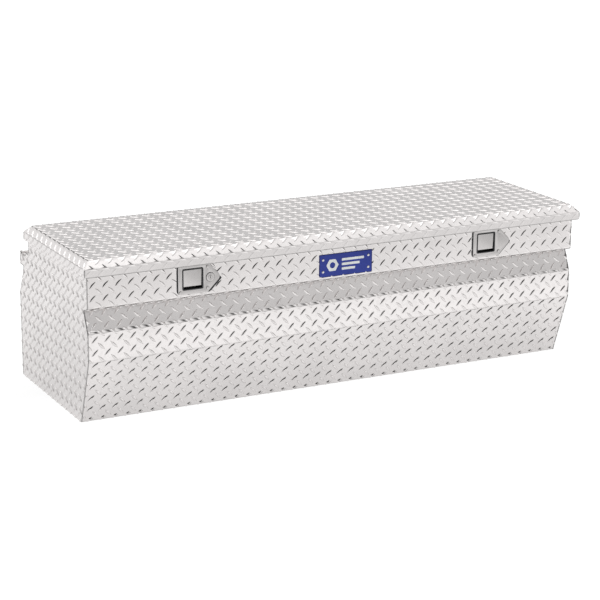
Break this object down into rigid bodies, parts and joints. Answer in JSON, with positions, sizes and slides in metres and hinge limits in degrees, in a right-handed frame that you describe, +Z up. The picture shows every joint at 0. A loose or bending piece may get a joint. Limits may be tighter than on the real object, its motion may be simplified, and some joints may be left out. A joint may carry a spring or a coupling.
{
  "type": "truck tool box",
  "caption": "Long tread-plate aluminium chest for a truck bed, with a waisted body, bevelled foam-filled lid on a piano hinge, gas struts and flush paddle latches.",
  "frame": {"origin": "middle of the footprint, on the plane that the box stands on", "axes": "+X along the length towards the right-hand end seen from the latches, +Y towards the hinge side, +Z up"},
  "size_m": [1.54, 0.557, 0.461],
  "materials": {
    "tread_plate": "satin",
    "mill_aluminium": "satin",
    "rubber": "matte",
    "blue_enamel": "gloss",
    "foam": "matte",
    "polished_steel": "satin",
    "zinc_steel": "satin",
    "spring_steel": "satin",
    "black_paint": "satin",
    "black_nylon": "matte",
    "chrome_rod": "polished"
  },
  "bodies": {
    "box": {"front_panel": "tread_plate", "rear_panel": "tread_plate", "floor_panel": "mill_aluminium", "left_end_panel": "tread_plate", "right_end_panel": "tread_plate", "rim_gasket": "rubber", "name_plate": "blue_enamel", "name_plate_rivets": "mill_aluminium", "hinge_body_leaf": "mill_aluminium", "hinge_pin": "polished_steel", "hinge_body_rivets": "mill_aluminium", "left_strut_lower_bracket": "zinc_steel", "right_strut_lower_bracket": "zinc_steel", "left_latch_bezel": "polished_steel", "right_latch_bezel": "polished_steel", "left_latch_gasket": "rubber", "right_latch_gasket": "rubber", "left_latch_screws": "zinc_steel", "right_latch_screws": "zinc_steel", "left_latch_backplate": "zinc_steel", "right_latch_backplate": "zinc_steel", "left_paddle_pin": "zinc_steel", "right_paddle_pin": "zinc_steel", "left_hook_pivot": "zinc_steel", "right_hook_pivot": "zinc_steel", "left_paddle_spring": "spring_steel", "right_paddle_spring": "spring_steel", "left_hook_spring": "spring_steel", "right_hook_spring": "spring_steel", "lock_barrel": "polished_steel", "lock_nut": "zinc_steel"},
    "lid": {"lid_skin": "tread_plate", "lid_foam_core": "foam", "lid_liner": "mill_aluminium", "hinge_lid_leaf": "mill_aluminium", "hinge_lid_rivets": "mill_aluminium", "left_striker": "zinc_steel", "right_striker": "zinc_steel", "striker_screws": "zinc_steel", "left_strut_upper_bracket": "zinc_steel", "right_strut_upper_bracket": "zinc_steel", "lid_bracket_rivets": "mill_aluminium"},
    "lock": {"lock_plug": "polished_steel", "lock_cam": "zinc_steel"},
    "left_strut_cylinder": {"left_strut_tube": "black_paint", "left_strut_guide": "black_nylon"},
    "left_strut_piston": {"left_strut_rod": "chrome_rod", "left_strut_upper_socket": "black_nylon", "left_strut_upper_stud": "zinc_steel"},
    "left_handle": {"left_paddle": "polished_steel"},
    "left_hook": {"left_latch_hook": "zinc_steel"},
    "right_strut_cylinder": {"right_strut_tube": "black_paint", "right_strut_guide": "black_nylon"},
    "right_strut_piston": {"right_strut_rod": "chrome_rod", "right_strut_upper_socket": "black_nylon", "right_strut_upper_stud": "zinc_steel"},
    "right_handle": {"right_paddle": "polished_steel"},
    "right_hook": {"right_latch_hook": "zinc_steel"}
  },
  "joints": [
    {"name": "lid_hinge", "type": "hinge", "parent": "box", "child": "lid", "pos_m": [0, 0.197, 0.417], "axis": [-1, 0, 0], "range_deg": [0, 78]},
    {"name": "left_strut_pivot", "type": "hinge", "parent": "box", "child": "left_strut_cylinder", "pos_m": [-0.715, 0.147, 0.337], "axis": [-1, 0, 0], "range_deg": [0, 66.4]},
    {"name": "left_strut_slide", "type": "slide", "parent": "left_strut_cylinder", "child": "left_strut_piston", "axis": [0, -0.9, 0.4358], "range_m": [0, 0.1064]},
    {"name": "right_strut_pivot", "type": "hinge", "parent": "box", "child": "right_strut_cylinder", "pos_m": [0.715, 0.147, 0.337], "axis": [-1, 0, 0], "range_deg": [0, 66.4]},
    {"name": "right_strut_slide", "type": "slide", "parent": "right_strut_cylinder", "child": "right_strut_piston", "axis": [0, -0.9, 0.4358], "range_m": [0, 0.1064]},
    {"name": "left_paddle_turn", "type": "hinge", "parent": "box", "child": "left_handle", "pos_m": [-0.458, -0.254, 0.402], "axis": [-1, 0, 0], "range_deg": [0, 40], "stiffness_Nm_per_rad": 0.35, "springref_deg": -22.92},
    {"name": "left_hook_turn", "type": "hinge", "parent": "box", "child": "left_hook", "pos_m": [-0.458, -0.231, 0.386], "axis": [0, 1, 0], "range_deg": [0, 36]},
    {"name": "right_paddle_turn", "type": "hinge", "parent": "box", "child": "right_handle", "pos_m": [0.461, -0.254, 0.402], "axis": [-1, 0, 0], "range_deg": [0, 40], "stiffness_Nm_per_rad": 0.35, "springref_deg": -22.92},
    {"name": "right_hook_turn", "type": "hinge", "parent": "box", "child": "right_hook", "pos_m": [0.461, -0.231, 0.386], "axis": [0, 1, 0], "range_deg": [0, 36]},
    {"name": "lock_turn", "type": "hinge", "parent": "box", "child": "lock", "pos_m": [-0.407, -0.25, 0.3785], "axis": [0, 1, 0], "range_deg": [0, 90]}
  ],
  "couplings": [
    {"joint": "left_strut_pivot", "follows": "lid_hinge", "ratio": 0.85001},
    {"joint": "left_strut_slide", "follows": "lid_hinge", "m_per_rad": 0.078135},
    {"joint": "right_strut_pivot", "follows": "lid_hinge", "ratio": 0.85001},
    {"joint": "right_strut_slide", "follows": "lid_hinge", "m_per_rad": 0.078135},
    {"joint": "left_hook_turn", "follows": "left_paddle_turn", "ratio": 0.9},
    {"joint": "right_hook_turn", "follows": "right_paddle_turn", "ratio": 0.9}
  ]
}
